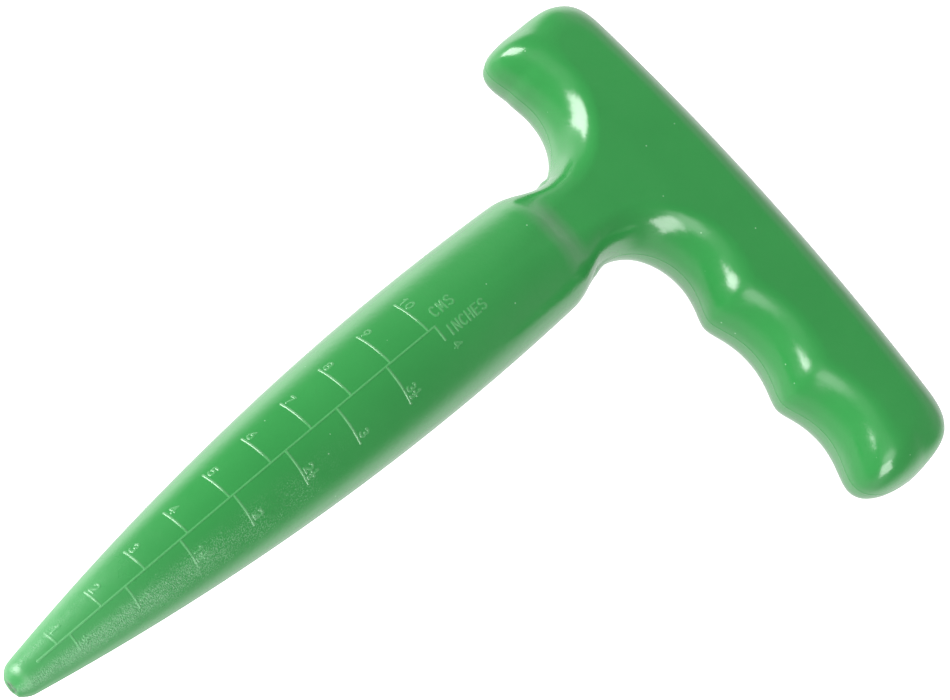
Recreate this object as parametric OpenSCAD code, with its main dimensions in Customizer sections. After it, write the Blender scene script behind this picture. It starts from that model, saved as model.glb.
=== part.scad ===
// T-handled garden dibber: a hollow tapering spike with a depth scale, moulded in one form with
// a T-handle. The tool is two thin plastic half shells, front and rear, joined all round at the
// parting plane y = 0.
// The origin is the point of the tip. +Z runs up the spike, +X along the long arm of the handle,
// and the front, with the scale, faces -Y.

/* [Spike] */
// Largest diameter of the spike
spike_d = 26.2; // [24:0.2:28]
// Height of the widest point above the tip
belly_z = 107; // [104:1:112]
// Radius of the rounded tip
tip_r = 3.8; // [3:0.1:5]

/* [Handle] */
// Height of the top of the handle above the tip
crown_z = 178.4; // [178:0.2:182]
// Depth of the handle, front to rear
grip_depth = 21; // [20:0.5:22]
// Reach of the short arm from the spike's axis
short_arm = 36; // [35:0.5:40]
// Reach of the long arm from the spike's axis
long_arm = 79.3; // [78:0.5:84]
// Spacing of the finger grooves along the long arm
finger_pitch = 19.8; // [19:0.2:20.4]
// Width of the neck between the spike and the handle
neck_w = 18.2; // [17:0.2:20]

/* [Shell] */
// Thickness of the moulded wall
wall = 1.8; // [1.4:0.1:2.2]
// Height of the raised scale lines
scale_h = 0.35; // [0.2:0.05:0.6]

/* [Hidden] */
$fn = 96;

// Spike: the side is one long arc that runs tangent into the ball of the tip.
spike_r = spike_d / 2;
ogive_r = (spike_r * spike_r + pow(belly_z - tip_r, 2) - tip_r * tip_r) / (2 * (spike_r - tip_r));
tip_turn = acos((belly_z - tip_r) / (ogive_r - tip_r));
shoulder_z = 132;
neck_z = 143;
neck_top_z = 150;
core_r = neck_w / 2 - 1.4;

// Handle: the top is a shallow arch, and it falls towards both ends.
crown_x = 7;
crown_r = 520;
end_r = 6.5;
edge_r = 6;
under_r = 9;
blank_z = 150.6;
web_z = 136.5;
web_top_z = 168;
web_x = 22;

// Finger grooves: each is [x of its centre, height of its crown, radius], the short arm's first.
first_x = neck_w / 2 + 12.6;
groove_z = crown_z - 22.5;
GROOVES = [
    [-neck_w / 2 - 12.6, groove_z + 0.3, 12.9],
    [first_x, groove_z, 12.7],
    [first_x + finger_pitch, groove_z - 0.4, 15.6],
    [first_x + 2 * finger_pitch, groove_z - 1.1, 14.6]
];
flare_steps = 8;
flare_rise = 7.5;

// The welded rim: a lip on the rear shell that sits inside the front shell.
lip_h = 2;
lip_t = 1;
lip_gap = 0.15;
lip_start_z = 16;
root = 0.3;
clear = 1;

// Scale: centimetres to the left of the centre line, half inches to the right.
line_w = 0.55;
inch = 25.4;
sweep = 38;
step_down = 0.08;
scale_start_z = 7;
scale_end_z = 4 * inch;

function spike_radius(z) = spike_r - ogive_r + sqrt(ogive_r * ogive_r - pow(belly_z - z, 2));

function shoulder_radius(t) =
    core_r + (spike_radius(shoulder_z) - core_r) * (1 + cos(180 * t)) / 2;

function arc(cx, cz, r, from, to, steps) =
    [for (i = [0:steps]) let (a = from + (to - from) * i / steps) [cx + r * cos(a), cz + r * sin(a)]];

function crown_height(x) = crown_z - pow(x - crown_x, 2) / (2 * crown_r);

// Half of the spike's section, from the tip up into the handle, moved in by inset.
function spike_half(inset) =
    let (foot_z = tip_r * (1 - cos(tip_turn)))
    concat(
        [[0, inset]],
        [for (a = [15:15:tip_turn]) [(tip_r - inset) * sin(a), tip_r - (tip_r - inset) * cos(a)]],
        [for (i = [0:14]) let (z = foot_z + (shoulder_z - foot_z) * i / 14) [spike_radius(z) - inset, z]],
        [for (i = [1:7]) [shoulder_radius(i / 7) - inset, shoulder_z + (neck_z - shoulder_z) * i / 7]],
        [[core_r - inset, neck_top_z], [0, neck_top_z]]
    );

// Side outline of the handle before the grooves are cut.
module head_outline(inset) {
    r = end_r - inset;
    left = -short_arm + end_r;
    right = long_arm - end_r;
    polygon(concat(
        arc(left, blank_z + end_r + 2.5, r, 180, 270, 5),
        arc(right, blank_z + end_r, r, 270, 360, 5),
        arc(right, crown_height(right) - end_r, r, 0, 85, 5),
        [for (i = [1:9]) let (x = right + (left - right) * i / 10) [x, crown_height(x) - inset]],
        arc(left, crown_height(left) - end_r, r, 93, 180, 5)
    ));
}

// Section across the handle, rounder below, where the fingers close round it.
module head_section(inset) {
    half = grip_depth / 2;
    r = edge_r - inset;
    low_r = under_r - inset;
    polygon(concat(
        arc(under_r - half, blank_z + under_r, low_r, 180, 270, 6),
        arc(half - under_r, blank_z + under_r, low_r, 270, 360, 6),
        arc(half - edge_r, crown_z - edge_r, r, 0, 90, 6),
        arc(edge_r - half, crown_z - edge_r, r, 90, 180, 6)
    ));
}

// Plan of the handle, with rounded ends.
module head_plan(inset) {
    half = grip_depth / 2;
    r = end_r - inset;
    left = -short_arm + end_r;
    right = long_arm - end_r;
    polygon(concat(
        arc(left, end_r - half, r, 180, 270, 6),
        arc(right, end_r - half, r, 270, 360, 6),
        arc(right, half - end_r, r, 0, 90, 6),
        arc(left, half - end_r, r, 90, 180, 6)
    ));
}

// A finger groove is cut by a spool that flares towards the front and rear of the handle.
module finger_spool(groove, inset) {
    half = grip_depth / 2 - inset;
    r = groove[2] + inset;
    translate([groove[0], 0, groove[1] - groove[2]])
        rotate([90, 0, 0])
            rotate_extrude()
                polygon(concat(
                    [[0, -half - clear], [r + flare_rise, -half - clear]],
                    [for (i = [-flare_steps:flare_steps]) let (a = 90 * i / flare_steps)
                        [r + flare_rise * (1 - cos(a)), half * sin(a)]],
                    [[r + flare_rise, half + clear], [0, half + clear]]
                ));
}

// The handle's bar before the grooves are cut: what its side, its section and its plan all allow.
module bar(inset) {
    depth = grip_depth - 2 * inset;
    intersection() {
        translate([0, depth / 2, 0])
            rotate([90, 0, 0])
                linear_extrude(depth)
                    head_outline(inset);
        translate([-short_arm - clear, 0, 0])
            rotate([90, 0, 90])
                linear_extrude(short_arm + long_arm + 2 * clear)
                    head_section(inset);
        translate([0, 0, blank_z - clear])
            linear_extrude(crown_z - blank_z + 2 * clear)
                head_plan(inset);
    }
}

// The handle: the bar and the web that joins it to the spike, with the grooves cut in both.
module handle(inset) {
    half = grip_depth / 2 - inset;
    difference() {
        union() {
            bar(inset);
            translate([-web_x, -half, web_z])
                cube([2 * web_x, 2 * half, web_top_z - web_z]);
        }
        for (groove = GROOVES)
            finger_spool(groove, inset);
    }
}

// The whole tool as one solid, moved in by inset from its outer surface.
module form(inset) {
    rotate_extrude()
        polygon(spike_half(inset));
    handle(inset);
}

// A slab of the tool's space, from y = from to y = to, above the height low.
module slab(from, to, low = -clear) {
    translate([-short_arm - clear, from, low])
        cube([short_arm + long_arm + 2 * clear, to - from, crown_z + clear - low]);
}

// One half of the hollow wall.
module half_shell(from, to) {
    difference() {
        intersection() {
            form(0);
            slab(from, to);
        }
        form(wall);
    }
}

// A raised arc round the spike at height z. It runs from the centre line to the side that start
// names, and it is a little lower than the centre line, so that the two cross cleanly.
module scale_line(z, start) {
    rotate([0, 0, start])
        rotate_extrude(angle = sweep)
            translate([spike_radius(z) - wall / 2, z - line_w / 2])
                square([wall / 2 + scale_h - step_down, line_w]);
}

// The raised line up the middle of the scale.
module centre_line() {
    steps = 12;
    span = scale_end_z - scale_start_z;
    heights = [for (i = [0:steps]) scale_start_z + span * i / steps];
    rotate([90, 0, -90])
        translate([0, 0, -line_w / 2])
            linear_extrude(line_w)
                polygon(concat(
                    [for (z = heights) [spike_radius(z) + scale_h, z]],
                    [for (i = [steps:-1:0]) [spike_radius(heights[i]) - wall / 2, heights[i]]]
                ));
}

module front_shell() {
    color("#44a257") {
        half_shell(-spike_d, 0);
        centre_line();
        for (i = [1:10])
            scale_line(10 * i, -90 - sweep);
        for (i = [1:8])
            scale_line(inch / 2 * i, -90);
    }
}

// A band of the inner rim, from y = from to y = to, whose outer side is moved in by inset.
module lip(inset, from, to) {
    difference() {
        intersection() {
            form(inset);
            slab(from, to, lip_start_z);
        }
        form(wall + lip_gap + lip_t);
    }
}

module rear_shell() {
    color("#3f9c52") {
        half_shell(0, spike_d);
        lip(wall + lip_gap, -lip_h, lip_h);
        lip(wall - root, 0, lip_h);
    }
}

front_shell();
rear_shell();
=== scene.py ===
"""A T-handled garden dibber, moulded in green plastic as two hollow half shells that meet at y = 0.

The outer skin is one smooth implicit form. skin(x, y, z) is negative inside the tool, and near the
surface it is close to the distance from it. The front half is meshed from that form, moved onto the
surface and mirrored for the rear. The parting line, the depth scale and the scar of the mould are
then raised on the two meshes, with their normals worked out from the same formulas. All shapes are
in millimetres in the row's frame until make_piece() turns them into metres.
"""

import math

import bmesh
import bpy
import numpy as np
from mathutils import Matrix, Vector


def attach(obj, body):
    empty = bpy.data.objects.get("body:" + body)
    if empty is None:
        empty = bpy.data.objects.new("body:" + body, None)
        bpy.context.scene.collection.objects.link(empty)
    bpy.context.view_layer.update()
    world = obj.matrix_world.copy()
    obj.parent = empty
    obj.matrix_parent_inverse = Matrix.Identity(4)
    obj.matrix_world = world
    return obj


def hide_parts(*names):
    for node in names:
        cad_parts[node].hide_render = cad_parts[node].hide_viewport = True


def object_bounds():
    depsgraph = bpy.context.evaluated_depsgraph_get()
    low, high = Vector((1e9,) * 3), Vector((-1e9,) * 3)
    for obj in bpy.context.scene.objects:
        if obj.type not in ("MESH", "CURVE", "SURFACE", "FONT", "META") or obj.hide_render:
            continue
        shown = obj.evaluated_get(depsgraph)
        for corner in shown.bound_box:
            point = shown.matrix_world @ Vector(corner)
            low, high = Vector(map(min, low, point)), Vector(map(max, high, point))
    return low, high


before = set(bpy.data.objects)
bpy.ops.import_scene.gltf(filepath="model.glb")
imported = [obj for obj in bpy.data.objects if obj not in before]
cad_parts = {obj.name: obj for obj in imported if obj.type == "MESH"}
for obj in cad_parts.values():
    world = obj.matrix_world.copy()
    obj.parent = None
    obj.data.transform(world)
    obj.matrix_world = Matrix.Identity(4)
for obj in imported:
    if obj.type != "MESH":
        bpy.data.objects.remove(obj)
cad_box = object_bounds()

# The outer sizes come from the CAD's box, less a few hundredths of a millimetre, so that the raised
# parting line hardly passes it.
MM = 0.001
LOW, HIGH = (np.array(corner) / MM for corner in cad_box)

# Spike: one long arc down each side, tangent to the ball of the tip.
SPIKE_R = HIGH[1] - 0.03
BELLY_Z = 107.0
TIP_R = 3.75
ARC_R = (SPIKE_R**2 + (BELLY_Z - TIP_R) ** 2 - TIP_R**2) / (2 * (SPIKE_R - TIP_R))
TIP_TOP = TIP_R * (1 - math.cos(math.acos((BELLY_Z - TIP_R) / (ARC_R - TIP_R))))

# Shoulder: (start height, end height, half size at the end), to the sides and to the front. Above
# the neck the section turns into the handle's over NECK_BLEND, and the spike ends inside it.
SHOULDER_SIDE = (133.5, 145.5, 9.1)
SHOULDER_FRONT = (131.6, 139.6, 10.5)
NECK_TOP = 150.0
NECK_BLEND = 10.0
SPIKE_TOP = 165.0

# Handle: shallow arches for the top and the two ends, each (middle, reach, radius). Below, the web
# beside the neck reaches down to WEB_Z, and the outline rises to END_LOW_Z between the two WEB_EDGE
# distances from the axis. The corner radii and END_LOW_Z are for the long arm, then the short arm.
TOP_ARCH = (7.46, HIGH[2] - 0.03, 522.0)
RIGHT_ARCH = (162.9, HIGH[0] - 0.01, 19.3)
LEFT_ARCH = (162.5, -LOW[0] - 0.08, 33.5)
TOP_CORNER = (4.2, 4.5)
LOW_CORNER = (4.0, 3.5)
END_LOW_Z = (151.04, 154.13)
WEB_Z = 136.5
WEB_EDGE = (15.0, 28.0)

# Finger grooves: (x of the centre, height of the crown, radius), the short arm's first.
GROOVES = (
    (-21.69, 156.25, 13.07),
    (21.64, 155.82, 12.14),
    (41.17, 155.49, 14.48),
    (61.53, 154.8, 12.06),
)

# Rounding of the ridges between the grooves, and of the neck where the spike meets the handle.
RIDGE_R = 3.3
RIDGE_SOFTER = -0.7
FILLET_R = 1.1
FILLET_SOFTER = 3.5

# Section of the handle: half its depth, the reach of its rounded underside and of its top edges,
# and the height over which one turns into the other.
HALF_DEPTH = 10.5
UNDERSIDE = 8.0
EDGE_R = 6.0
EDGE_BLEND = 8.0

# Wall, and the lip inside the rear shell.
WALL = 1.8
LIP = 1.0
LIP_GAP = 0.15
LIP_DEPTH = 2.0
LIP_EDGE = 0.2
LIP_ROOT = 0.3
LIP_START_Z = 16.0

# Mesh sizes of the outer and the inner skin. Round the scale the outer skin is halved three times,
# each time in a band that reaches a little less far past the lines.
OUTER_STEP = 0.62
INNER_STEP = 1.6
FINE_BANDS = (0.36, 0.12, 0.04)
EVEN_ROUNDS = 5
EVEN_SHARE = 0.6

# Depth scale: the height where it starts, the angles in degrees that its lines sweep, the heights of
# the relief, and the half widths of a line at its flat top and at its foot.
INCH = 25.4
SCALE_START = 5.6
CM_SWEEP = 38.0
INCH_SWEEP = 37.0
LAST_SWEEP = 13.7
LINE_RISE = 0.095
LETTER_RISE = 0.075
LINE_CORE = 0.06
LINE_REACH = 0.27

# Lettering: each is (height, pitch). Figures stand FIGURE_LIFT above their lines, and the two words
# start at WORD_Z.
CM_FIGURE = (1.75, 1.55)
INCH_FIGURE = (1.8, 1.5)
HALF_FIGURE = (0.95, 0.0)
CMS_WORD = (2.0, 1.95)
INCHES_WORD = (2.0, 1.7)
HALF_SIGN_WIDTH = 1.2
FIGURE_LIFT = 0.75
WORD_Z = 103.1

# Parting line: its height, how far it spreads, and the depths at which the mesh is cut to carry it.
SEAM_RISE = 0.05
SEAM_REACH = 0.16
SEAM_CUTS = (-0.08, -0.17, -0.3)

# The scar of the mould at the tip, as dents and bumps: (x, y, z, radius, rise).
SCAR = (
    (-0.3, -0.2, 0.0, 0.75, -0.45),
    (0.9, -0.1, 0.1, 0.5, -0.45),
    (2.0, -0.3, 0.6, 0.8, 0.3),
)


# ---------------------------------------------------------------- the form


def ease(t):
    """From 0 to 1 along an S-shaped curve."""
    t = np.clip(t, 0, 1)
    return t * t * (3 - 2 * t)


def ramp(t, bend=0.4):
    """From 0 to 1 in a straight line, with short round bends at both ends."""

    def bent(t):
        u = np.clip(t / bend, 0, 1)
        return np.where(t < bend, bend * u * u / 2, t - bend / 2)

    return (bent(t) - bent(t - 1 + bend)) / (1 - bend)


def both(a, b, r, softer=0.1):
    """Positive where a and b both are. The corner between them has about radius r.

    The corner grows by softer for each millimetre away from the surface. 1.76 turns the radius of a
    square corner into the reach of the smooth minimum, and 0.7 keeps that reach from running out.
    """
    least = np.minimum(a, b)
    reach = np.maximum(1.76 * r + softer * np.abs(least), 0.7 * r)
    return least - reach / 6 * np.maximum(1 - np.abs(a - b) / reach, 0) ** 3


def either(a, b, r):
    """Positive where a or b is, with the corner between them filled to about radius r."""
    return -both(-a, -b, r, FILLET_SOFTER)


def spike_radius(z):
    return SPIKE_R - ARC_R + np.sqrt(np.maximum(ARC_R**2 - (BELLY_Z - z) ** 2, 1))


def narrowed(radius, z, shoulder):
    """The spike's half size at height z, drawn in towards the neck by that shoulder."""
    start, end, size = shoulder
    return radius + (size - radius) * ramp((z - start) / (end - start))


def head_depth(x, z):
    """How deep a point of the parting plane lies inside the handle's outline."""

    def arch(shape, t):
        middle, reach, radius = shape
        return reach - (t - middle) ** 2 / (2 * radius)

    top = arch(TOP_ARCH, x) - z
    right = arch(RIGHT_ARCH, z) - x
    left = arch(LEFT_ARCH, z) + x
    outward = ease((np.abs(x) - WEB_EDGE[0]) / (WEB_EDGE[1] - WEB_EDGE[0]))
    low = z - WEB_Z - (np.where(x > 0, *END_LOW_Z) - WEB_Z) * outward
    depth = both(both(top, right, TOP_CORNER[0]), left, TOP_CORNER[1])
    depth = both(depth, low, np.where(x > 0, *LOW_CORNER))
    grooves = None
    for gx, crown, r in GROOVES:
        out = np.hypot(x - gx, z - crown + r) - r
        grooves = out if grooves is None else both(grooves, out, RIDGE_R, RIDGE_SOFTER)
    return both(depth, grooves, RIDGE_R)


def skin(x, y, z):
    """Roughly the distance from the outer skin, negative inside the tool.

    The section is rounded off by a quarter of an ellipse. half is how far the front lies from the
    parting plane, reach is how far the rounding runs in from the outline, and drop is how far it
    takes the front back.
    """
    y = np.abs(y)
    round_r = spike_radius(z)
    side = narrowed(round_r, z, SHOULDER_SIDE)
    front = narrowed(round_r, z, SHOULDER_FRONT)
    in_tip = z < TIP_TOP
    spike = np.where(in_tip, TIP_R - np.hypot(x, z - TIP_R), side - np.abs(x))
    depth = either(np.minimum(spike, SPIKE_TOP - z), head_depth(x, z), FILLET_R)
    bar_mid = (TOP_ARCH[1] + GROOVES[1][1]) / 2
    upper = ease((z - bar_mid) / EDGE_BLEND + 0.5)
    lower = ease((z - NECK_TOP) / NECK_BLEND)
    reach = side + (UNDERSIDE - side) * lower
    reach = reach + (EDGE_R - reach) * upper
    half = front + (HALF_DEPTH - front) * lower
    drop = half + (EDGE_R - half) * upper
    reach, half, drop = (np.where(in_tip, TIP_R, value) for value in (reach, half, drop))
    across = np.maximum(reach - depth, 0) / reach
    out = np.maximum(y - half + drop, 0) / drop
    return (np.hypot(across, out) - 1) * np.minimum(reach, drop)


def slope(points, step=0.02):
    """The gradient of skin at each point."""
    x, y, z = points.T
    return np.stack(
        [
            skin(x + step, y, z) - skin(x - step, y, z),
            skin(x, y + step, z) - skin(x, y - step, z),
            skin(x, y, z + step) - skin(x, y, z - step),
        ],
        1,
    ) / (2 * step)


def unit(vectors):
    return vectors / np.maximum(np.linalg.norm(vectors, axis=1), 1e-9)[:, None]


def settle(points, inset=0.0, flat=False, rounds=4):
    """Moves points onto the skin, or inset below it. With flat, each one keeps its y."""
    for _ in range(rounds):
        way = slope(points)
        if flat:
            way[:, 1] = 0
        push = (skin(*points.T) + inset) / np.maximum((way**2).sum(1), 0.05)
        points = points - np.clip(push, -1, 1)[:, None] * way
    return points


# ---------------------------------------------------------------- meshing


def triangles_of(quads, points):
    """Each quad as two triangles, cut along its shorter diagonal."""
    a, b, c, d = (points[quads[:, i]] for i in range(4))
    short = np.linalg.norm(a - c, axis=1) <= np.linalg.norm(b - d, axis=1)
    first = np.where(short[:, None], quads[:, [0, 1, 2]], quads[:, [0, 1, 3]])
    second = np.where(short[:, None], quads[:, [0, 2, 3]], quads[:, [1, 2, 3]])
    return np.vstack([first, second])


def facing(points, triangles):
    """The way each triangle faces, as long as twice its area."""
    a, b, c = (points[triangles[:, i]] for i in range(3))
    return np.cross(b - a, c - a)


def half_net(step, inset):
    """The front half of the skin, or of the surface inset below it, with its rim on y = 0.

    One point is set in each cell that the surface crosses, and four of them round each crossed edge
    make a quad. The points are then evened out a few times and moved back onto the surface.
    """
    xs = np.arange(LOW[0] - 2 * step, HIGH[0] + 2 * step, step)
    ys = step * (0.5 - np.arange(int(-LOW[1] / step) + 4))
    zs = np.arange(LOW[2] - 2 * step, HIGH[2] + 2 * step, step)
    grid = np.meshgrid(xs, ys, zs, indexing="ij")
    inside = skin(*grid) + inset < 0
    corners = sum(
        inside[i : i - 1 or None, j : j - 1 or None, k : k - 1 or None].astype(np.int8)
        for i in (0, 1)
        for j in (0, 1)
        for k in (0, 1)
    )
    crossed = (corners > 0) & (corners < 8)
    number = np.full(crossed.shape, -1)
    number[crossed] = np.arange(crossed.sum())
    cell = np.argwhere(crossed)
    centre = [line[:-1] + np.diff(line) / 2 for line in (xs, ys, zs)]
    points = np.stack([centre[i][cell[:, i]] for i in range(3)], 1)

    quads = []
    for along in range(3):
        cut = np.argwhere(np.diff(inside, axis=along))
        cut = cut[cut[:, 1] > 0]
        p, q = [axis for axis in range(3) if axis != along]
        ring = []
        for dp, dq in ((-1, -1), (0, -1), (0, 0), (-1, 0)):
            at = cut.copy()
            at[:, p] += dp
            at[:, q] += dq
            ring.append(number[tuple(at.T)])
        quads.append(np.stack(ring, 1))
    quads = np.vstack(quads)

    used, quads = np.unique(quads, return_inverse=True)
    points, quads = points[used], quads.reshape(-1, 4)
    rim = np.abs(points[:, 1]) < step / 4
    points = settle(points, inset)
    links = np.vstack([quads[:, [i, (i + 1) % 4]] for i in range(4)])
    count = np.bincount(links.ravel(), minlength=len(points))
    for _ in range(EVEN_ROUNDS):
        total = np.zeros_like(points)
        for axis in range(3):
            total[:, axis] = np.bincount(links[:, 0], points[links[:, 1], axis], len(points))
            total[:, axis] += np.bincount(links[:, 1], points[links[:, 0], axis], len(points))
        points = points + EVEN_SHARE * (total / count[:, None] - points)
        points[rim, 1] = 0
        points = settle(points, inset, rounds=2)
    points[rim, 1] = 0
    triangles = triangles_of(quads, points)
    out = slope(points[triangles].mean(1))
    wrong = (facing(points, triangles) * out).sum(1) < 0
    triangles[wrong] = triangles[wrong][:, ::-1]
    return points, triangles


def slice_rows(points, triangles, depths):
    """Cuts the mesh at each depth y, so that the parting line has rows of points to follow."""
    bm = bmesh.new()
    made = [bm.verts.new(p) for p in points]
    for triangle in triangles:
        bm.faces.new([made[i] for i in triangle])
    for y in depths:
        spans = [(f, [v.co.y for v in f.verts]) for f in bm.faces]
        near = [f for f, ys in spans if min(ys) < y < max(ys)]
        edges = {e for f in near for e in f.edges}
        verts = {v for f in near for v in f.verts}
        bmesh.ops.bisect_plane(
            bm, geom=[*near, *edges, *verts], dist=0.01, plane_co=(0, y, 0), plane_no=(0, 1, 0)
        )
    bmesh.ops.triangulate(bm, faces=[f for f in bm.faces if len(f.verts) > 3])
    bm.verts.index_update()
    points = np.array([v.co for v in bm.verts])
    triangles = np.array([[v.index for v in f.verts] for f in bm.faces])
    bm.free()
    return points, triangles


def halve(points, triangles, chosen):
    """Cuts the chosen triangles into four, and their neighbours in two, so that no gap opens."""
    ends = np.sort(np.stack([triangles, np.roll(triangles, -1, 1)], 2), 2).reshape(-1, 2)
    keys, side = np.unique(ends[:, 0] * len(points) + ends[:, 1], return_inverse=True)
    side = side.reshape(-1, 3)
    cut = np.zeros(len(keys), bool)
    cut[side[chosen]] = True
    while True:
        twice = cut[side].sum(1) == 2
        if not twice.any():
            break
        cut[side[twice]] = True
    middle = np.full(len(keys), -1)
    middle[cut] = len(points) + np.arange(cut.sum())
    a, b = np.divmod(keys[cut], len(points))
    points = np.vstack([points, (points[a] + points[b]) / 2])
    cuts = cut[side].sum(1)

    whole = triangles[cuts == 0]
    t, m = triangles[cuts == 3], middle[side[cuts == 3]]
    quarters = [
        np.stack([t[:, 0], m[:, 0], m[:, 2]], 1),
        np.stack([m[:, 0], t[:, 1], m[:, 1]], 1),
        np.stack([m[:, 2], m[:, 1], t[:, 2]], 1),
        m,
    ]
    t, m = triangles[cuts == 1], middle[side[cuts == 1]]
    turn = (np.argmax(m >= 0, 1)[:, None] + np.arange(3)) % 3
    t = np.take_along_axis(t, turn, 1)
    m = m.max(1)
    halves = [np.stack([t[:, 0], m, t[:, 2]], 1), np.stack([m, t[:, 1], t[:, 2]], 1)]
    return points, np.vstack([whole, *quarters, *halves])


def rim_loop(points, triangles):
    """The points along the open edge at y = 0, in order."""
    ends = np.vstack([triangles[:, [i, (i + 1) % 3]] for i in range(3)])
    size = len(points)
    forward = ends[:, 0] * size + ends[:, 1]
    open_side = ~np.isin(forward, ends[:, 1] * size + ends[:, 0])
    following = dict(ends[open_side].tolist())
    start = min(following)
    loop = [start]
    while following[loop[-1]] != start:
        loop.append(following[loop[-1]])
    return np.array(loop)


def bridge(points, outer, inner):
    """Triangles between two loops that run the same way round."""
    nearest = np.linalg.norm(points[inner] - points[outer[0]], axis=1).argmin()
    inner = np.roll(inner, -nearest)
    made, i, j = [], 0, 0
    while i < len(outer) or j < len(inner):
        a, b = outer[i % len(outer)], inner[j % len(inner)]
        next_a, next_b = outer[(i + 1) % len(outer)], inner[(j + 1) % len(inner)]
        step_a = np.linalg.norm(points[next_a] - points[b])
        step_b = np.linalg.norm(points[next_b] - points[a])
        if j == len(inner) or (i < len(outer) and step_a <= step_b):
            made.append((a, next_a, b))
            i += 1
        else:
            made.append((a, next_b, b))
            j += 1
    return np.array(made)


# ---------------------------------------------------------------- the depth scale


def bow(x, z, rx, rz, start, end, steps=9):
    """Points along an arc of the ellipse round (x, z), between two angles in degrees."""
    angles = np.radians(np.linspace(start, end, steps))
    return [(x + rx * math.cos(a), z + rz * math.sin(a)) for a in angles]


# Plain strokes on a cell 0.6 wide and 1 high.
GLYPHS = {
    "0": [bow(0.3, 0.5, 0.28, 0.5, 0, 360, 17)],
    "1": [[(0.12, 0.78), (0.34, 1), (0.34, 0)]],
    "2": [bow(0.3, 0.71, 0.28, 0.29, 165, -35) + [(0.02, 0), (0.6, 0)]],
    "3": [bow(0.28, 0.75, 0.26, 0.25, 150, -90) + bow(0.28, 0.26, 0.31, 0.26, 80, -150)],
    "4": [[(0.45, 0), (0.45, 1), (0.0, 0.3), (0.62, 0.3)]],
    "5": [[(0.55, 1), (0.1, 1), (0.05, 0.55)] + bow(0.28, 0.31, 0.3, 0.31, 110, -150)],
    "6": [[(0.48, 0.98), (0.12, 0.55)] + bow(0.3, 0.3, 0.28, 0.3, 150, 510, 17)],
    "7": [[(0.0, 1), (0.58, 1), (0.2, 0)]],
    "8": [bow(0.3, 0.76, 0.24, 0.24, -90, 270, 17), bow(0.3, 0.26, 0.29, 0.26, 90, 450, 17)],
    "9": [[(0.14, 0.02), (0.5, 0.45)] + bow(0.3, 0.7, 0.28, 0.3, -30, 330, 17)],
    "C": [bow(0.32, 0.5, 0.3, 0.5, 50, 310, 15)],
    "E": [[(0.56, 1), (0.04, 1), (0.04, 0), (0.56, 0)], [(0.04, 0.52), (0.46, 0.52)]],
    "H": [[(0.04, 0), (0.04, 1)], [(0.56, 0), (0.56, 1)], [(0.04, 0.5), (0.56, 0.5)]],
    "I": [[(0.3, 0), (0.3, 1)]],
    "M": [[(0.0, 0), (0.04, 1), (0.3, 0.3), (0.56, 1), (0.6, 0)]],
    "N": [[(0.04, 0), (0.04, 1), (0.56, 0), (0.56, 1)]],
    "S": [bow(0.3, 0.75, 0.26, 0.25, 30, 270) + bow(0.3, 0.25, 0.28, 0.25, 90, -150)],
}


def write(word, across, height, size, pitch, upward=False):
    """Strokes for a word that starts at (across, height). Upward turns it to run up the spike."""
    strokes = []
    for i, letter in enumerate(word):
        for stroke in GLYPHS[letter]:
            cell = np.array(stroke) * size + [i * pitch, 0]
            if upward:
                cell = cell[:, ::-1] * [-1, 1]
            strokes.append(cell + [across, height])
    return strokes


def half_sign(across, height):
    """A small one over two."""
    bar = np.array([[across - 0.1, height + 1.0], [across + 1.0, height + 1.0]])
    one = write("1", across + 0.15, height + 1.25, *HALF_FIGURE)
    two = write("2", across + 0.15, height - 0.2, *HALF_FIGURE)
    return [bar, *one, *two]


def scale_strokes():
    """Lines, then figures and letters, on the unrolled spike: (way round from the front, height).

    Centimetres are on the left. Half inches are on the right, where the last line is a short one.
    """
    lines = [np.array([[0, SCALE_START], [0, 4 * INCH]])]
    strokes = []
    for i in range(1, 11):
        z = 10.0 * i
        end = -math.radians(CM_SWEEP) * spike_radius(z)
        lines.append(np.array([[end, z], [0, z]]))
        strokes += write(str(i), end + 0.35, z + FIGURE_LIFT, *CM_FIGURE)
    for i in range(1, 9):
        z = INCH / 2 * i
        end = math.radians(LAST_SWEEP if i == 8 else INCH_SWEEP) * spike_radius(z)
        lines.append(np.array([[0, z], [end, z]]))
        whole = str(i // 2) if i > 1 else ""
        whole_width = INCH_FIGURE[1] * len(whole)
        at = end + 1.5 if i == 8 else end - 0.2 - whole_width - HALF_SIGN_WIDTH * (i % 2)
        strokes += write(whole, at, z + FIGURE_LIFT, *INCH_FIGURE)
        if i % 2:
            strokes += half_sign(at + whole_width, z + FIGURE_LIFT)
    strokes += write("CMS", -1.2, WORD_Z, *CMS_WORD, upward=True)
    strokes += write("INCHES", 3.3, WORD_Z, *INCHES_WORD, upward=True)
    return lines, strokes


def scale_segments():
    """The strokes as one table of straight runs: start, run and height of the relief."""
    starts, runs, rises = [], [], []
    for strokes, rise in zip(scale_strokes(), (LINE_RISE, LETTER_RISE)):
        for stroke in strokes:
            starts.append(stroke[:-1])
            runs.append(np.diff(stroke, axis=0))
            rises.append(np.full(len(stroke) - 1, rise))
    return np.vstack(starts), np.vstack(runs), np.concatenate(rises)


def unrolled(points):
    """Each point of the spike as (millimetres round it from the front, height)."""
    angle = np.arctan2(points[:, 0], -points[:, 1])
    return np.stack([angle * spike_radius(points[:, 2]), points[:, 2]], 1)


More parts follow.
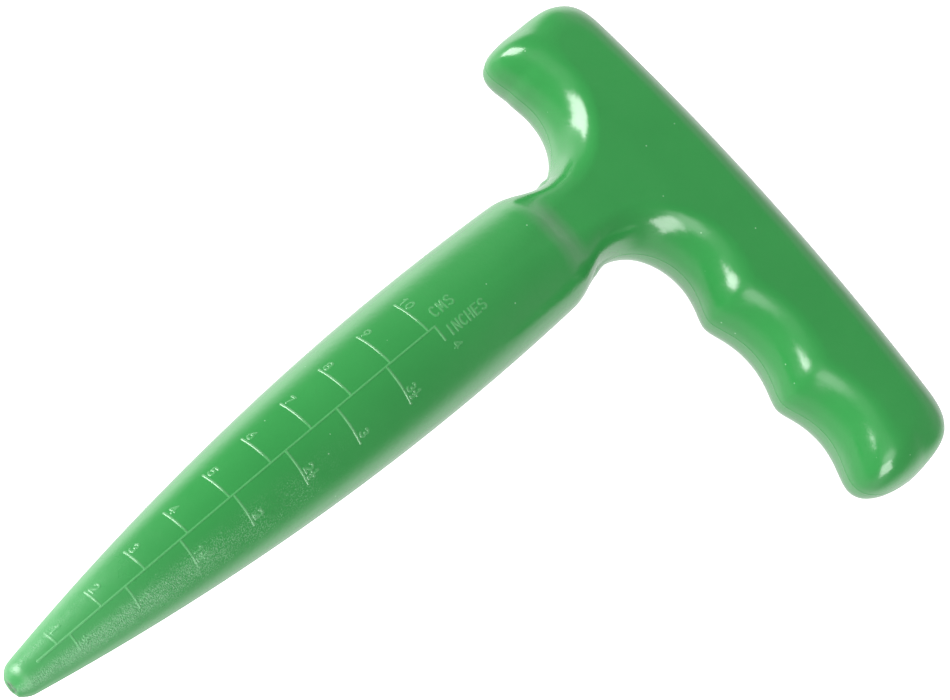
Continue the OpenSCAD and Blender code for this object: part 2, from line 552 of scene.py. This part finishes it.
def nearest_stroke(points):
    """From the nearest stroke to each point: the step, its length, and the stroke's relief."""
    starts, runs, rises = scale_segments()
    flat = unrolled(points)
    best = np.full(len(flat), 1e9)
    step, height = np.zeros_like(flat), np.zeros(len(flat))
    for start, run, rise in zip(starts, runs, rises):
        low, high = sorted((start[1], start[1] + run[1]))
        rows = np.flatnonzero((flat[:, 1] > low - 2) & (flat[:, 1] < high + 2))
        offset = flat[rows] - start
        share = np.clip(offset @ run / (run @ run), 0, 1)
        offset = offset - share[:, None] * run
        far = np.linalg.norm(offset, axis=1)
        closer = far < best[rows]
        best[rows[closer]] = far[closer]
        step[rows[closer]] = offset[closer]
        height[rows[closer]] = rise
    return step, best, height


# ---------------------------------------------------------------- relief


def raise_relief(points, scale):
    """Lifts the seam, the scar and, with scale, the depth scale. Returns points and normals."""
    normal = unit(slope(points))
    rise = SEAM_RISE * np.exp(-((points[:, 1] / SEAM_REACH) ** 2))
    lean = np.zeros_like(points)
    lean[:, 1] = -2 * points[:, 1] / SEAM_REACH**2 * rise
    for x, y, z, reach, height in SCAR:
        gap = points - [x, y, z]
        bump = height * np.exp(-(gap**2).sum(1) / reach**2)
        rise = rise + bump
        lean = lean - (2 * bump / reach**2)[:, None] * gap
    if scale:
        step, far, height = nearest_stroke(points)
        t = np.clip((far - LINE_CORE) / (LINE_REACH - LINE_CORE), 0, 1)
        line = height * (1 - ease(t))
        fall = -height * 6 * t * (1 - t) / (LINE_REACH - LINE_CORE)
        away = step / np.maximum(far, 1e-6)[:, None]
        angle = np.arctan2(points[:, 0], -points[:, 1])
        round_way = np.stack([np.cos(angle), np.sin(angle), 0 * angle], 1)
        up_way = np.cross(normal, round_way)
        up_way *= np.sign(up_way[:, 2:])
        rise = rise + line
        lean = lean + fall[:, None] * (away[:, :1] * round_way + away[:, 1:] * up_way)
    lean = lean - (lean * normal).sum(1)[:, None] * normal
    return points + rise[:, None] * normal, unit(normal - lean)


# ---------------------------------------------------------------- pieces


def make_piece(name, points, triangles, normals):
    """A mesh object, in metres, with a normal for each corner of each triangle."""
    mesh = bpy.data.meshes.new(name)
    mesh.from_pydata((points * MM).tolist(), [], triangles.tolist())
    mesh.shade_smooth()
    mesh.normals_split_custom_set(normals.reshape(-1, 3).tolist())
    piece = bpy.data.objects.new(name, mesh)
    bpy.context.scene.collection.objects.link(piece)
    return piece


def mark_raised(piece):
    """Stores how far each point stands up on the scale, from 0 to 1, for the painted highlight on
    its lines.
    """
    points = np.array([vertex.co for vertex in piece.data.vertices]) / MM
    _, far, height = nearest_stroke(points)
    share = (1 - ease((far - LINE_CORE) / (LINE_REACH - LINE_CORE))) * height / LINE_RISE
    attribute = piece.data.attributes.new("raised", "FLOAT", "POINT")
    attribute.data.foreach_set("value", share.astype(np.float32))


def shell(outer, inner, scale):
    """One hollow half: outer skin, inner skin and the flat rim between them."""
    points, triangles = outer
    if scale:
        for band in FINE_BANDS:
            middle = points[triangles].mean(1)
            _, far, _ = nearest_stroke(middle)
            chosen = (middle[:, 1] < -1) & (far < LINE_REACH + band)
            points, triangles = halve(points, triangles, chosen)
            points = settle(points, rounds=2)
    skin_points, skin_normals = raise_relief(points, scale)
    inner_points, inner_triangles = inner
    inner_normals = -unit(slope(inner_points))
    everything = np.vstack([skin_points, inner_points])
    inner_triangles = inner_triangles[:, ::-1] + len(points)
    outer_loop = rim_loop(points, triangles)
    inner_loop = rim_loop(everything, inner_triangles)[::-1]
    rim = bridge(everything, outer_loop, inner_loop)
    turned = facing(everything, rim)[:, 1] < 0
    rim[turned] = rim[turned][:, ::-1]
    smooth = np.vstack([skin_normals, inner_normals])
    rim_normals = np.tile([0.0, 1.0, 0.0], (len(rim), 3, 1))
    normals = np.vstack([smooth[triangles], smooth[inner_triangles], rim_normals])
    return everything, np.vstack([triangles, inner_triangles, rim]), normals


def mirrored(points, triangles, normals):
    """The same part on the other side of the parting plane."""
    flip = np.array([1.0, -1.0, 1.0])
    return points * flip, triangles[:, ::-1], normals[:, ::-1] * flip


def lip_strip(inner):
    """The lip inside the rear shell, which follows the rim and reaches into the front shell."""
    points, triangles = inner
    loop = rim_loop(points, triangles)
    path = points[loop]
    first = int(np.argmax((path[:, 2] > LIP_START_Z) & (np.roll(path[:, 2], 1) <= LIP_START_Z)))
    path = np.roll(path, -first, 0)
    path = path[path[:, 2] > LIP_START_Z]
    profile = (
        (WALL + LIP_GAP, 0.0),
        (WALL + LIP_GAP, LIP_EDGE - LIP_DEPTH),
        (WALL + LIP_GAP + LIP_EDGE, -LIP_DEPTH),
        (WALL + LIP_GAP + LIP - LIP_EDGE, -LIP_DEPTH),
        (WALL + LIP_GAP + LIP, LIP_EDGE - LIP_DEPTH),
        (WALL + LIP_GAP + LIP, LIP_DEPTH),
        (WALL - LIP_ROOT, LIP_DEPTH),
        (WALL - LIP_ROOT, 0.0),
    )
    rings = []
    for inset, y in profile:
        ring = np.column_stack([path[:, 0], np.full(len(path), y), path[:, 2]])
        rings.append(settle(ring, inset, flat=True))
    sides, steps = len(profile), len(path)
    made = np.vstack(rings)
    quads = []
    for s in range(sides):
        a, b = s * steps, (s + 1) % sides * steps
        quads += [(a + i, a + i + 1, b + i + 1, b + i) for i in range(steps - 1)]
    caps = [(0, (s + 1) * steps, s * steps) for s in range(1, sides - 1)]
    end = steps - 1
    caps += [(end, s * steps + end, (s + 1) * steps + end) for s in range(1, sides - 1)]
    faces = np.vstack([triangles_of(np.array(quads), made), caps])
    flat = unit(facing(made, faces))
    return made, faces, np.repeat(flat[:, None], 3, 1)


def joined(*parts):
    """Several (points, triangles, normals) as one."""
    points, triangles, normals, count = [], [], [], 0
    for p, t, n in parts:
        points.append(p)
        triangles.append(t + count)
        normals.append(n)
        count += len(p)
    return np.vstack(points), np.vstack(triangles), np.vstack(normals)


inner_net = half_net(INNER_STEP, WALL)
outer_net = slice_rows(*half_net(OUTER_STEP, 0.0), SEAM_CUTS)

front = make_piece("front_moulding", *shell(outer_net, inner_net, scale=True))
mark_raised(front)
rear_half = mirrored(*shell(outer_net, inner_net, scale=False))
rear = make_piece("rear_moulding", *joined(rear_half, lip_strip(inner_net)))


# ---------------------------------------------------------------- plastic


def add(tree, kind, values=None, **settings):
    """Adds a shader node, sets its fields, and fills or links its inputs."""
    made = tree.nodes.new(kind)
    for key, value in settings.items():
        setattr(made, key, value)
    for key, value in (values or {}).items():
        if isinstance(value, bpy.types.NodeSocket):
            tree.links.new(value, made.inputs[key])
        else:
            made.inputs[key].default_value = value
    return made


def noise(tree, where, scale, detail=2.0, roughness=0.5):
    values = {"Vector": where, "Scale": scale, "Detail": detail, "Roughness": roughness}
    return add(tree, "ShaderNodeTexNoise", values).outputs["Fac"]


def remap(tree, value, low, high, to_low=0.0, to_high=1.0, curve="LINEAR"):
    """Value moved from the range low to high into the range to_low to to_high, and held there."""
    sockets = ("Value", "From Min", "From Max", "To Min", "To Max")
    values = dict(zip(sockets, (value, low, high, to_low, to_high)))
    return add(tree, "ShaderNodeMapRange", values, interpolation_type=curve).outputs["Result"]


def smooth(tree, value, low, high, to_low=0.0, to_high=1.0):
    return remap(tree, value, low, high, to_low, to_high, curve="SMOOTHSTEP")


def blend_colour(tree, share, a, b):
    values = {0: share, 6: opaque(a), 7: opaque(b)}
    return add(tree, "ShaderNodeMix", values, data_type="RGBA").outputs[2]


def opaque(colour):
    """A colour given by three numbers gets its alpha, and a socket is passed on."""
    return (*colour, 1.0) if isinstance(colour, tuple) else colour


def times(tree, first, *others):
    for other in others:
        first = add(tree, "ShaderNodeMath", {0: first, 1: other}, operation="MULTIPLY").outputs[0]
    return first


def plus(tree, first, *others):
    for other in others:
        first = add(tree, "ShaderNodeMath", {0: first, 1: other}, operation="ADD").outputs[0]
    return first


# Colours of the plastic: its two tones, a painted highlight for the scale's lines, wear that also
# carries a painted sheen, pale grain that also carries a painted sparkle, the darker scar, and dust.
GREEN = ((0.0187, 0.174, 0.0370), (0.0215, 0.187, 0.0407))
SCALE_HIGHLIGHT_GREEN = (0.16, 0.42, 0.19)
WORN_AND_SHEEN_GREEN = (0.16, 0.43, 0.21)
SCUFF_AND_SPARKLE_GREEN = (0.30, 0.50, 0.33)
SCAR_DARKENING = (0.03, 0.05, 0.03)
DUST = (0.35, 0.55, 0.38)
SCAR_DARKENING_MIDDLE = (0.0003, -0.0003, 0.0)


def moulded_green():
    """Satin green plastic with uneven gloss and wear near the tip, carrying painted sheen down both
    flanks and a painted sparkle on the right one, painted highlights on the scale's lines, a darker
    scar at the tip and a little dust.

    Heights and distances in it are in metres, as the object's own coordinates are.
    """
    material = bpy.data.materials.new("moulded_green")
    material.use_nodes = True
    tree = material.node_tree
    tree.nodes.clear()
    place = add(tree, "ShaderNodeTexCoord").outputs["Object"]
    axis = add(tree, "ShaderNodeSeparateXYZ", {"Vector": place}).outputs
    height = axis["Z"]

    broad = noise(tree, place, 45, 3)
    colour = blend_colour(tree, remap(tree, broad, 0.35, 0.65), *GREEN)

    # The raised lines of the scale are painted a little paler: a painted highlight along them.
    raised = add(tree, "ShaderNodeAttribute", attribute_name="raised").outputs["Fac"]
    colour = blend_colour(tree, times(tree, raised, 0.24), colour, SCALE_HIGHLIGHT_GREEN)

    # Wear from the soil: paler and duller towards the tip. The streak down each flank is paler
    # still, partly wear and partly a painted reflection of the soft highlight band that lies there.
    # The angle is 0 at the front and grows towards +X.
    worn = smooth(tree, height, 0.050, 0.004)
    colour = blend_colour(tree, times(tree, worn, 0.11), colour, WORN_AND_SHEEN_GREEN)
    forward = times(tree, axis["Y"], -1.0)
    angle = add(tree, "ShaderNodeMath", {0: axis["X"], 1: forward}, operation="ARCTAN2").outputs[0]
    right = times(tree, smooth(tree, angle, 0.15, 0.60), smooth(tree, angle, 1.15, 0.75))
    left = smooth(tree, angle, -0.10, -0.60)
    right_wear_and_sheen = times(tree, right, smooth(tree, height, 0.055, 0.008))
    left_wear_and_sheen = times(tree, left, smooth(tree, height, 0.035, 0.008, 0.0, 0.6))
    wear_and_sheen_streak = plus(tree, right_wear_and_sheen, left_wear_and_sheen)
    mottled = remap(tree, noise(tree, place, 900, 3), 0.35, 0.65, 0.5, 1.0)
    colour = blend_colour(tree, times(tree, wear_and_sheen_streak, mottled, 0.20), colour, WORN_AND_SHEEN_GREEN)

    # Fine pale grain on the right flank, in patches: real scuffing, with a painted sparkle where the
    # highlight band down that flank breaks up on it.
    grain = noise(tree, place, 3600, 2, 0.55)
    patch = remap(tree, noise(tree, place, 190, 3), 0.30, 0.60)
    flank = times(tree, right, smooth(tree, height, 0.085, 0.040))
    scuff_and_sparkle = times(tree, remap(tree, grain, 0.46, 0.66), patch, flank)
    colour = blend_colour(tree, times(tree, scuff_and_sparkle, 0.22), colour, SCUFF_AND_SPARKLE_GREEN)

    # Darker in the scar at the tip.
    gap = add(tree, "ShaderNodeVectorMath", {0: place, 1: SCAR_DARKENING_MIDDLE}, operation="DISTANCE")
    close = smooth(tree, gap.outputs["Value"], 0.0016, 0.0008)
    scar_darkening = times(tree, close, remap(tree, grain, 0.40, 0.55))
    colour = blend_colour(tree, times(tree, scar_darkening, 0.85), colour, SCAR_DARKENING)

    # Dust: a pale speck in some of the cells of a net.
    cells = add(tree, "ShaderNodeTexVoronoi", {"Vector": place, "Scale": 330.0})
    speck = remap(tree, cells.outputs["Distance"], 0.06, 0.03)
    draw = add(tree, "ShaderNodeSeparateColor", {"Color": cells.outputs["Color"]}).outputs["Red"]
    dust = times(tree, speck, remap(tree, draw, 0.54, 0.56))
    colour = blend_colour(tree, times(tree, dust, 0.45), colour, DUST)

    # Gloss, the faint orange peel of the moulding, and the grain of the worn parts.
    gloss = remap(tree, noise(tree, place, 300, 4), 0.3, 0.7, 0.17, 0.23)
    gloss = plus(tree, gloss, times(tree, scuff_and_sparkle, 0.2), times(tree, worn, 0.16))
    peel = add(
        tree,
        "ShaderNodeBump",
        {"Height": noise(tree, place, 700, 2), "Strength": 0.10, "Distance": 0.0003},
    ).outputs["Normal"]
    pebbled = times(tree, grain, plus(tree, flank, wear_and_sheen_streak))
    bump = add(
        tree,
        "ShaderNodeBump",
        {"Height": pebbled, "Strength": 0.50, "Distance": 0.0002, "Normal": peel},
    ).outputs["Normal"]
    plastic = add(
        tree,
        "ShaderNodeBsdfPrincipled",
        {
            "Base Color": colour,
            "Roughness": gloss,
            "IOR": 1.5,
            "Specular IOR Level": 0.6,
            "Normal": bump,
        },
    )
    out = add(tree, "ShaderNodeOutputMaterial")
    tree.links.new(plastic.outputs["BSDF"], out.inputs["Surface"])
    return material


green = moulded_green()
for piece, node in ((front, "front_shell"), (rear, "rear_shell")):
    piece.data.materials.append(green)
    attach(piece, "root")
    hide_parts(node)


# ---------------------------------------------------------------- studio


# Camera: the point it aims at, where it stands in degrees and metres, and its lens.
AIM = Vector((10.2, -10.4, 105.7)) * MM
CAMERA_AZIMUTH, CAMERA_ELEVATION, CAMERA_ROLL = 5.903, -28.443, 50.063
CAMERA_DISTANCE = 0.6583
LENS = 136.65
LENS_SHIFT = (-0.0088, 0.0111)

# Softboxes: (name, way to it from the tool, long side, short side, radiance), with sizes in metres.
SOFTBOX_DISTANCE = 0.9
SOFTBOXES = (
    ("softbox_left", (-0.746, -0.449, -0.492), 0.76, 0.50, 14.2),
    ("softbox_right", (0.799, -0.358, -0.484), 0.60, 0.46, 8.7),
)

# Room: the ways to two brighter patches, and the level of the whole.
LEFT_GLOW = Vector((-0.951, 0.066, -0.302)).normalized()
FRONT_GLOW = Vector((0.423, -0.773, -0.474)).normalized()
ROOM_LEVEL = 0.86

FLOOR_REACH = 3.0
FLOOR_GAP = 0.0002


def direction(azimuth, elevation):
    """The way from the tool to a point at that azimuth, from -Y towards +X, and elevation."""
    a, e = math.radians(azimuth), math.radians(elevation)
    return Vector((math.sin(a) * math.cos(e), -math.cos(a) * math.cos(e), math.sin(e)))


def paper():
    """White paper, seen by the camera only and from the front only, so it never tints the tool."""
    material = bpy.data.materials.new("white_paper")
    material.use_nodes = True
    tree = material.node_tree
    tree.nodes.clear()
    place = add(tree, "ShaderNodeTexCoord").outputs["Object"]
    tone = blend_colour(tree, noise(tree, place, 30, 2), (0.60, 0.60, 0.60), (0.62, 0.62, 0.62))
    sheet = add(tree, "ShaderNodeBsdfDiffuse", {"Color": tone})
    glow = add(tree, "ShaderNodeEmission", {"Color": (1, 1, 1, 1), "Strength": 0.9})
    lit = add(tree, "ShaderNodeAddShader")
    tree.links.new(sheet.outputs[0], lit.inputs[0])
    tree.links.new(glow.outputs[0], lit.inputs[1])
    clear = add(tree, "ShaderNodeBsdfTransparent")
    back = add(tree, "ShaderNodeNewGeometry").outputs["Backfacing"]
    camera = add(tree, "ShaderNodeLightPath").outputs["Is Camera Ray"]
    shown = add(tree, "ShaderNodeMath", {0: camera, 1: back}, operation="SUBTRACT", use_clamp=True)
    mixed = add(tree, "ShaderNodeMixShader", {"Fac": shown.outputs[0]})
    tree.links.new(clear.outputs[0], mixed.inputs[1])
    tree.links.new(lit.outputs[0], mixed.inputs[2])
    out = add(tree, "ShaderNodeOutputMaterial")
    tree.links.new(mixed.outputs[0], out.inputs["Surface"])
    return material


def make_floor():
    """The sheet that the tool lies on, just behind its rear side."""
    r, y = FLOOR_REACH, cad_box[1].y + FLOOR_GAP
    mesh = bpy.data.meshes.new("floor")
    mesh.from_pydata([(-r, y, -r), (r, y, -r), (r, y, r), (-r, y, r)], [], [(0, 1, 2, 3)])
    floor = bpy.data.objects.new("floor", mesh)
    floor.data.materials.append(paper())
    bpy.context.scene.collection.objects.link(floor)


def make_softbox(name, way, long_side, short_side, radiance):
    """An area light that faces the tool, with its long side running towards the camera."""
    way = Vector(way).normalized()
    data = bpy.data.lights.new(name, "AREA")
    data.shape = "RECTANGLE"
    data.size, data.size_y = short_side, long_side
    data.energy = radiance * math.pi * long_side * short_side
    light = bpy.data.objects.new(name, data)
    towards_camera = direction(CAMERA_AZIMUTH, CAMERA_ELEVATION)
    long_way = (towards_camera - towards_camera.dot(way) * way).normalized()
    turn = Matrix((long_way.cross(way), long_way, way)).transposed()
    light.matrix_world = Matrix.Translation(AIM + way * SOFTBOX_DISTANCE) @ turn.to_4x4()
    bpy.context.scene.collection.objects.link(light)


def make_camera():
    data = bpy.data.cameras.new("camera")
    data.sensor_width, data.lens = 36, LENS
    data.shift_x, data.shift_y = LENS_SHIFT
    data.clip_start, data.clip_end = 0.01, 20
    camera = bpy.data.objects.new("camera", data)
    back = direction(CAMERA_AZIMUTH, CAMERA_ELEVATION)
    roll = Matrix.Rotation(math.radians(CAMERA_ROLL), 4, "Z")
    turn = (-back).to_track_quat("-Z", "Y").to_matrix().to_4x4() @ roll
    camera.matrix_world = Matrix.Translation(AIM + back * CAMERA_DISTANCE) @ turn
    bpy.context.scene.collection.objects.link(camera)
    bpy.context.scene.camera = camera


def make_room():
    """Soft light from all round, as a world whose strength depends on the way to it.

    It is brightest behind the tool, where it lights the rims, and a little brighter than the rest
    above, below and in a patch to the left. The camera's side is dim apart from two soft patches.
    """
    world = bpy.data.worlds.new("studio")
    world.use_nodes = True
    tree = world.node_tree
    way = add(tree, "ShaderNodeTexCoord").outputs["Generated"]
    axis = add(tree, "ShaderNodeSeparateXYZ", {"Vector": way}).outputs

    def along(line):
        made = add(tree, "ShaderNodeVectorMath", {0: way, 1: line}, operation="DOT_PRODUCT")
        return made.outputs["Value"]

    # How much each way points at the camera: 1 towards it, 0 across, -1 away from it.
    towards = along(direction(CAMERA_AZIMUTH, CAMERA_ELEVATION))
    across = times(tree, smooth(tree, towards, 0.55, 0.10), smooth(tree, towards, -0.70, -0.20))
    away = times(
        tree,
        smooth(tree, towards, -0.08, -0.66),
        smooth(tree, towards, -1.0, -0.55, 0.5, 1.0),
    )
    rim_level = remap(tree, axis["X"], 1.0, -1.0, 1.3, 2.3)
    rim_level = plus(tree, rim_level, times(tree, axis["Z"], 0.25))
    below = smooth(tree, axis["Z"], -0.05, -0.50)
    above = smooth(tree, axis["Z"], 0.35, 0.85)
    left_patch = smooth(tree, along(LEFT_GLOW), 0.84, 0.98)
    front_patch = smooth(tree, along(FRONT_GLOW), 0.90, 1.0)
    camera_patch = smooth(tree, towards, 0.86, 0.98)
    light = plus(
        tree,
        times(tree, plus(tree, below, above), across, 0.9),
        times(tree, left_patch, 1.1),
        times(tree, front_patch, 3.6),
        times(tree, camera_patch, 0.6),
        times(tree, away, rim_level),
        0.3,
    )
    light = times(tree, light, ROOM_LEVEL)

    # The camera sees plain white to the sides, and a pale grey when it looks at the tool's rear.
    backdrop = smooth(tree, axis["Y"], -0.2, -0.7, 1.0, 0.72)
    seen = add(tree, "ShaderNodeLightPath").outputs["Is Camera Ray"]
    strength = add(tree, "ShaderNodeMix", {0: seen, 2: light, 3: backdrop}, data_type="FLOAT")
    background = tree.nodes["Background"]
    background.inputs["Color"].default_value = (1, 1, 1, 1)
    tree.links.new(strength.outputs[0], background.inputs["Strength"])
    bpy.context.scene.world = world


make_floor()
make_camera()
make_room()
for softbox in SOFTBOXES:
    make_softbox(*softbox)

bpy.context.scene.view_settings.view_transform = "Standard"
